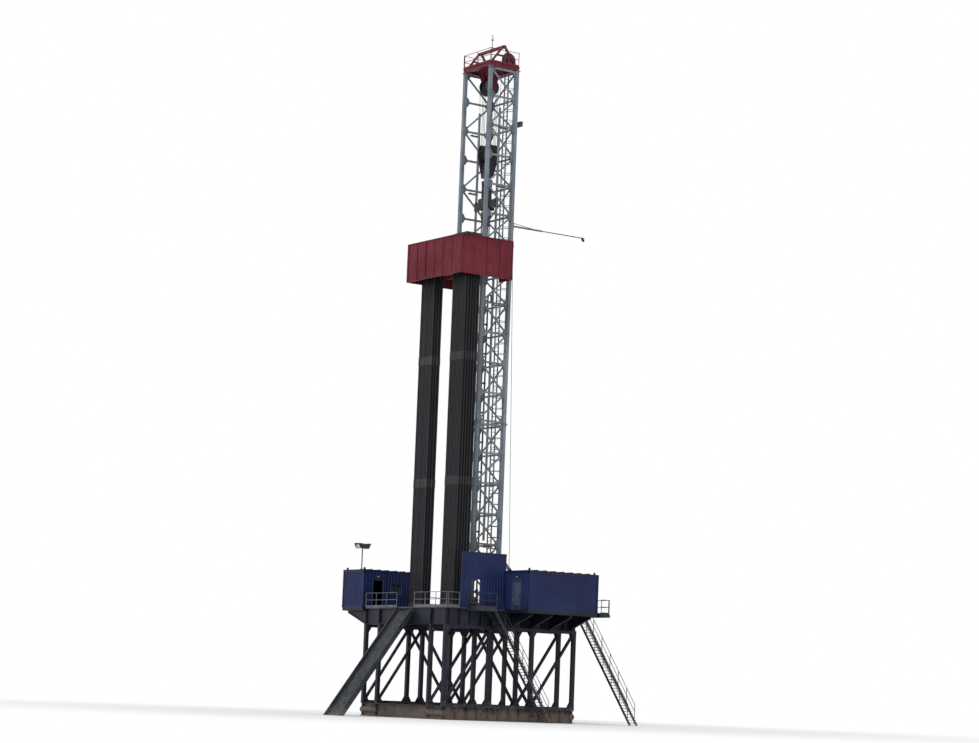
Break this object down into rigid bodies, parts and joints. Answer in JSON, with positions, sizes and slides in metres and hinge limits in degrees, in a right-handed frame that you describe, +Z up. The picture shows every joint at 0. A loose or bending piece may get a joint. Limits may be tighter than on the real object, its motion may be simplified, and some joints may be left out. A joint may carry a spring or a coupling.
{
  "type": "half-scale land oil drilling rig",
  "caption": "Land drilling rig at half scale: open lattice mast with racking board and racked pipe over a raised drill floor, with a travelling block that runs up and down.",
  "frame": {"origin": "on the ground under the well centre, the middle of the rig's plan", "axes": "+Z up; +X from the V-door towards the drawworks; +Y from the doghouse side towards the far house"},
  "size_m": [12.2493, 8.44, 26.5643],
  "materials": {
    "navy_paint": "semi-gloss enamel over steel, weathered",
    "blue_paint": "semi-gloss enamel on steel sheet",
    "maroon_paint": "semi-gloss enamel, weathered",
    "mast_paint": "light grey enamel, weathered",
    "rail_paint": "light grey enamel, scuffed",
    "walkway_steel": "galvanised, worn",
    "deck_plate": "worn anti-slip plate",
    "drill_pipe": "mill scale, oiled",
    "machine_steel": "machined and greased",
    "hoist_paint": "dark enamel, oily",
    "timber": "oil-stained hardwood planks",
    "door_paint": "pale grey enamel",
    "window_glass": "dusty clear glass",
    "wire_rope": "greased wire rope",
    "lamp_grey": "grey powder coat"
  },
  "bodies": {
    "rig": {"base_boxes": "navy_paint", "base_spreaders": "navy_paint", "near_side_frame": "navy_paint", "far_side_frame": "navy_paint", "floor_boxes": "navy_paint", "floor_beams": "navy_paint", "drill_floor": "deck_plate", "setback_mats": "timber", "rotary_table": "machine_steel", "v_door_ramp": "walkway_steel", "floor_railings": "rail_paint", "stair_landings": "walkway_steel", "near_stair": "walkway_steel", "rear_stair": "walkway_steel", "house_brackets": "navy_paint", "house_floors": "navy_paint", "doghouse_side_walls": "blue_paint", "doghouse_end_walls": "blue_paint", "far_house_side_walls": "blue_paint", "far_house_end_walls": "blue_paint", "house_roofs": "navy_paint", "house_windows": "window_glass", "house_doors": "door_paint", "near_wind_wall": "blue_paint", "drawworks": "navy_paint", "drawworks_drum": "machine_steel", "lower_mast_sides": "mast_paint", "lower_mast_rear": "mast_paint", "middle_mast_sides": "mast_paint", "middle_mast_rear": "mast_paint", "upper_mast_sides": "mast_paint", "upper_mast_rear": "mast_paint", "mast_shoes": "navy_paint", "mast_back_braces": "mast_paint", "guide_rails": "mast_paint", "mast_ladder": "rail_paint", "racking_platform": "maroon_paint", "racking_fingers": "maroon_paint", "board_front_wall": "maroon_paint", "board_side_walls": "maroon_paint", "near_racked_pipe": "drill_pipe", "far_racked_pipe": "drill_pipe", "crown_frame": "maroon_paint", "crown_platform": "maroon_paint", "crown_sheaves": "machine_steel", "gin_frame": "maroon_paint", "drill_lines": "wire_rope", "fast_and_dead_lines": "wire_rope", "deadline_anchor": "navy_paint", "mast_boom": "rail_paint", "floodlights": "lamp_grey"},
    "hoist": {"travelling_block": "hoist_paint", "block_sheaves": "machine_steel", "top_drive": "hoist_paint", "elevator_links": "machine_steel"}
  },
  "joints": [
    {"name": "hoist_travel", "type": "slide", "parent": "rig", "child": "hoist", "axis": [0, 0, 1], "range_m": [-12.6, 1.6], "deforming": ["drill_lines"]}
  ]
}
